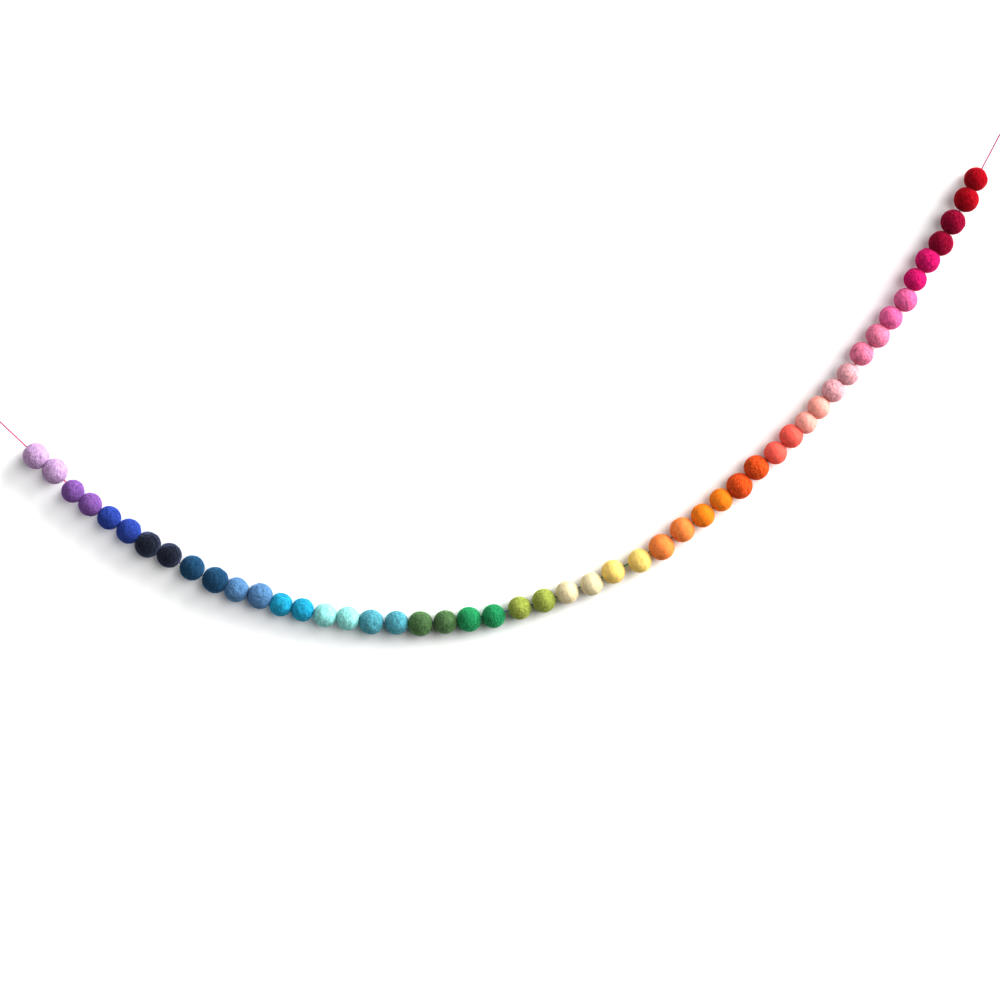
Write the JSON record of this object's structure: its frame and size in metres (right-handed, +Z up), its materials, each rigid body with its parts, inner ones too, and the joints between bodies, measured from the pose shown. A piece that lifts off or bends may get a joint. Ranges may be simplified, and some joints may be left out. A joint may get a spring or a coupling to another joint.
{
  "type": "felt ball garland",
  "caption": "Rainbow string of small round wool felt balls, threaded in colour pairs on one thin thread that hangs in a deep curve, with a knotted hanging loop at each end.",
  "frame": {"origin": "where the higher, right-hand hanging loop hangs: the middle of the thread at the loop's far end", "axes": "+X along the string from the lilac end to the red end, +Y away from the viewer towards the wall, +Z up"},
  "size_m": [0.8733, 0.0216, 0.4479],
  "materials": {
    "felt_lilac": "matt felted wool, lilac",
    "felt_purple": "matt felted wool, purple",
    "felt_royal_blue": "matt felted wool, royal blue",
    "felt_navy": "matt felted wool, navy",
    "felt_petrol": "matt felted wool, petrol",
    "felt_periwinkle": "matt felted wool, periwinkle",
    "felt_turquoise": "matt felted wool, turquoise",
    "felt_mint": "matt felted wool, mint",
    "felt_teal": "matt felted wool, teal",
    "felt_olive": "matt felted wool, olive",
    "felt_emerald": "matt felted wool, emerald",
    "felt_lime": "matt felted wool, lime",
    "felt_cream": "matt felted wool, cream",
    "felt_yellow": "matt felted wool, yellow",
    "felt_light_orange": "matt felted wool, light orange",
    "felt_amber": "matt felted wool, amber",
    "felt_red_orange": "matt felted wool, red orange",
    "felt_coral": "matt felted wool, coral",
    "felt_peach": "matt felted wool, peach",
    "felt_dusty_pink": "matt felted wool, dusty pink",
    "felt_rose": "matt felted wool, rose",
    "felt_orchid": "matt felted wool, orchid",
    "felt_magenta": "matt felted wool, magenta",
    "felt_burgundy": "matt felted wool, burgundy",
    "felt_red": "matt felted wool, red",
    "thread": "twisted cotton thread, dyed in changing colours, mainly pink"
  },
  "bodies": {
    "root": {"ball_01_lilac": "felt_lilac", "ball_02_lilac": "felt_lilac", "ball_03_purple": "felt_purple", "ball_04_purple": "felt_purple", "ball_05_royal_blue": "felt_royal_blue", "ball_06_royal_blue": "felt_royal_blue", "ball_07_navy": "felt_navy", "ball_08_navy": "felt_navy", "ball_09_petrol": "felt_petrol", "ball_10_petrol": "felt_petrol", "ball_11_periwinkle": "felt_periwinkle", "ball_12_periwinkle": "felt_periwinkle", "ball_13_turquoise": "felt_turquoise", "ball_14_turquoise": "felt_turquoise", "ball_15_mint": "felt_mint", "ball_16_mint": "felt_mint", "ball_17_teal": "felt_teal", "ball_18_teal": "felt_teal", "ball_19_olive": "felt_olive", "ball_20_olive": "felt_olive", "ball_21_emerald": "felt_emerald", "ball_22_emerald": "felt_emerald", "ball_23_lime": "felt_lime", "ball_24_lime": "felt_lime", "ball_25_cream": "felt_cream", "ball_26_cream": "felt_cream", "ball_27_yellow": "felt_yellow", "ball_28_yellow": "felt_yellow", "ball_29_light_orange": "felt_light_orange", "ball_30_light_orange": "felt_light_orange", "ball_31_amber": "felt_amber", "ball_32_amber": "felt_amber", "ball_33_red_orange": "felt_red_orange", "ball_34_red_orange": "felt_red_orange", "ball_35_coral": "felt_coral", "ball_36_coral": "felt_coral", "ball_37_peach": "felt_peach", "ball_38_peach": "felt_peach", "ball_39_dusty_pink": "felt_dusty_pink", "ball_40_dusty_pink": "felt_dusty_pink", "ball_41_rose": "felt_rose", "ball_42_rose": "felt_rose", "ball_43_orchid": "felt_orchid", "ball_44_orchid": "felt_orchid", "ball_45_magenta": "felt_magenta", "ball_46_magenta": "felt_magenta", "ball_47_burgundy": "felt_burgundy", "ball_48_burgundy": "felt_burgundy", "ball_49_red": "felt_red", "ball_50_red": "felt_red", "thread": "thread", "loop_left": "thread", "loop_right": "thread"}
  },
  "joints": []
}
